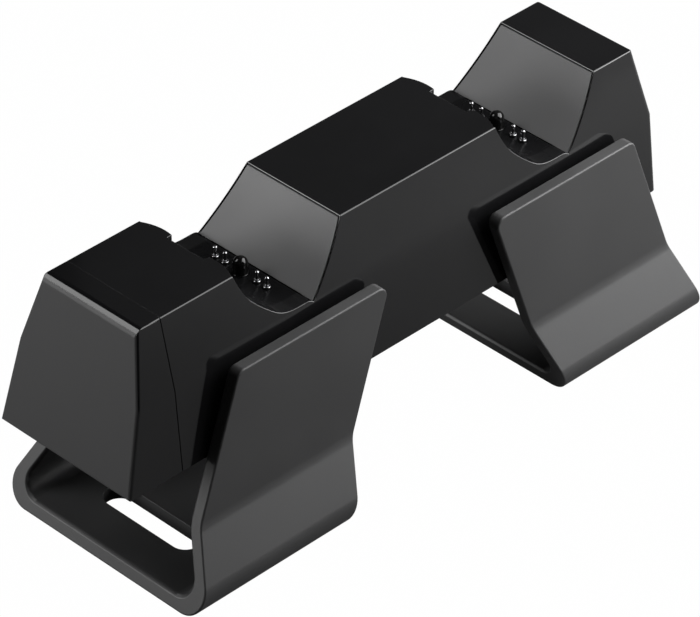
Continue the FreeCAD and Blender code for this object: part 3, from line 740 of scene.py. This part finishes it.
class DOCK_OT_stage(bpy.types.Operator):
    """Floor, soft lights, room and camera"""
    bl_idname = "dock.stage"
    bl_label = "Stage"

    def execute(self, context):
        settings = context.scene.dock_stage
        context.scene.view_settings.view_transform = "Standard"
        self.floor(settings)
        self.room(context.scene, settings)
        self.lights(settings)
        self.camera(context.scene, settings)
        return {"FINISHED"}

    def floor(self, settings):
        """A wide level sheet. Camera and mirror rays see it partly self-lit, and from below it is clear."""
        half, reach, seen_white = 4.0, 0.3, 0.995
        corners = [(-half, -half, 0), (half, -half, 0), (half, half, 0), (-half, half, 0)]
        mesh = bpy.data.meshes.new("floor")
        mesh.from_pydata(corners, [], [(0, 1, 2, 3)])
        floor = link_mesh("floor", mesh)
        material = bpy.data.materials.new("paper sheet")
        material.use_nodes = True
        tree = material.node_tree
        principled = next(n for n in tree.nodes if n.type == "BSDF_PRINCIPLED")
        principled.inputs["Base Color"].default_value = (*settings.floor_colour, 1.0)
        principled.inputs["Roughness"].default_value = 0.9
        principled.inputs["Specular IOR Level"].default_value = 0.0
        glow = tree.nodes.new("ShaderNodeEmission")
        glow.inputs["Color"].default_value = (*WHITE, 1.0)
        rays = tree.nodes.new("ShaderNodeLightPath")
        mirrored = maths(tree, "MAXIMUM", rays.outputs["Is Glossy Ray"], rays.outputs["Is Transmission Ray"])
        place = axes(tree, tree.nodes.new("ShaderNodeTexCoord").outputs["Object"])
        along = spread(tree, place["X"], 0.0, reach, settings.floor_near, settings.floor_far)
        lit = maths(tree, "MAXIMUM", maths(tree, "MULTIPLY", rays.outputs["Is Camera Ray"], seen_white),
                    maths(tree, "MULTIPLY", mirrored, along))
        blend = tree.nodes.new("ShaderNodeMixShader")
        output = next(n for n in tree.nodes if n.type == "OUTPUT_MATERIAL")
        tree.links.new(lit, blend.inputs["Fac"])
        tree.links.new(principled.outputs["BSDF"], blend.inputs[1])
        tree.links.new(glow.outputs["Emission"], blend.inputs[2])
        below = tree.nodes.new("ShaderNodeMixShader")
        tree.links.new(tree.nodes.new("ShaderNodeNewGeometry").outputs["Backfacing"], below.inputs["Fac"])
        tree.links.new(blend.outputs["Shader"], below.inputs[1])
        tree.links.new(tree.nodes.new("ShaderNodeBsdfTransparent").outputs["BSDF"], below.inputs[2])
        tree.links.new(below.outputs["Shader"], output.inputs["Surface"])
        mesh.materials.append(material)
        floor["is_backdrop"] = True

    def room(self, scene, settings):
        """A dark room that camera rays see as white."""
        world = bpy.data.worlds.new("room")
        world.use_nodes = True
        tree = world.node_tree
        background = next(n for n in tree.nodes if n.type == "BACKGROUND")
        seen = tree.nodes.new("ShaderNodeLightPath").outputs["Is Camera Ray"]
        tree.links.new(mix_colour(tree, seen, settings.sky_colour, WHITE), background.inputs["Color"])
        background.inputs["Strength"].default_value = 1.0
        scene.world = world

    def lights(self, settings):
        """A long strip and a low panel on the left, two panels on the right and a faint one behind."""
        up, slope = Vector((0.0, 0.0, 1.0)), Vector((1.0, 0.0, 1.0))
        for name, place, tall, size, power in (
                ("left strip", (-0.43, 0.36, 0.41), slope, (0.18, 0.80), settings.left_strip),
                ("low left", (-0.50, 0.34, 0.10), up, (0.30, 0.30), settings.low_left),
                ("high right", (0.25, -0.18, 0.30), up, (0.50, 0.50), settings.high_right),
                ("low right", (0.25, -0.13, 0.13), up, (0.20, 0.20), settings.low_right),
                ("rear", (0.53, 0.33, 0.54), up, (0.50, 0.50), settings.behind)):
            self.light(name, Vector(place), tall, size, power)

    def light(self, name, place, tall, size, power):
        """A soft panel that faces the middle of the dock, its height along the tall axis."""
        back = (place - Vector((0.0, 0.0, DECK_Z / 2))).normalized()
        across = tall.cross(back).normalized()
        data = bpy.data.lights.new(name, "AREA")
        data.shape = "RECTANGLE"
        data.size, data.size_y = size
        data.energy = power
        lamp = bpy.data.objects.new(name, data)
        turn = Matrix((across, back.cross(across), back)).transposed().to_4x4()
        lamp.matrix_world = Matrix.Translation(place) @ turn
        bpy.context.scene.collection.objects.link(lamp)

    def camera(self, scene, settings):
        """Looks at the target from azimuth and elevation, then turns about its own axis by roll."""
        a, e = settings.azimuth, settings.elevation
        back = Vector((math.sin(a) * math.cos(e), -math.cos(a) * math.cos(e), math.sin(e)))
        data = bpy.data.cameras.new("camera")
        data.sensor_width = 36.0
        data.lens = settings.lens
        data.clip_start, data.clip_end = 0.01, 20.0
        camera = bpy.data.objects.new("camera", data)
        facing = (-back).to_track_quat("-Z", "Y").to_matrix().to_4x4()
        place = Vector(settings.target) + back * settings.distance
        camera.matrix_world = Matrix.Translation(place) @ facing @ Matrix.Rotation(settings.roll, 4, "Z")
        scene.collection.objects.link(camera)
        scene.camera = camera


OPERATORS = (DOCK_OT_bar, DOCK_OT_backrests, DOCK_OT_stands, DOCK_OT_contacts, DOCK_OT_feet,
             DOCK_OT_screws, DOCK_OT_electrics, DOCK_OT_stage)


class DOCK_PT_parts(bpy.types.Panel):
    """Lists the dock's piece groups and the stage"""
    bl_label = "Charging dock"
    bl_idname = "DOCK_PT_parts"
    bl_space_type = "VIEW_3D"
    bl_region_type = "UI"
    bl_category = "Dock"

    def draw(self, context):
        for operator in OPERATORS:
            self.layout.operator(operator.bl_idname)
        for name, group in SETTINGS:
            box = self.layout.box()
            for key in group.__annotations__:
                box.prop(getattr(context.scene, name), key)


def register():
    for name, group in SETTINGS:
        bpy.utils.register_class(group)
        setattr(bpy.types.Scene, name, PointerProperty(type=group))
    for item in OPERATORS + (DOCK_PT_parts,):
        bpy.utils.register_class(item)


def unregister():
    for item in reversed(OPERATORS + (DOCK_PT_parts,)):
        bpy.utils.unregister_class(item)
    for name, group in reversed(SETTINGS):
        delattr(bpy.types.Scene, name)
        bpy.utils.unregister_class(group)


def main():
    register()
    bpy.ops.dock.bar()
    bpy.ops.dock.backrests()
    bpy.ops.dock.stands()
    bpy.ops.dock.contacts()
    bpy.ops.dock.feet()
    bpy.ops.dock.screws()
    bpy.ops.dock.electrics()
    bpy.ops.dock.stage()
    boxes = {"cad": CAD_BOX, "visual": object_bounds()}
    {key: [list(map(float, corner)) for corner in box] for key, box in boxes.items()}


if __name__ == "__main__":
    main()
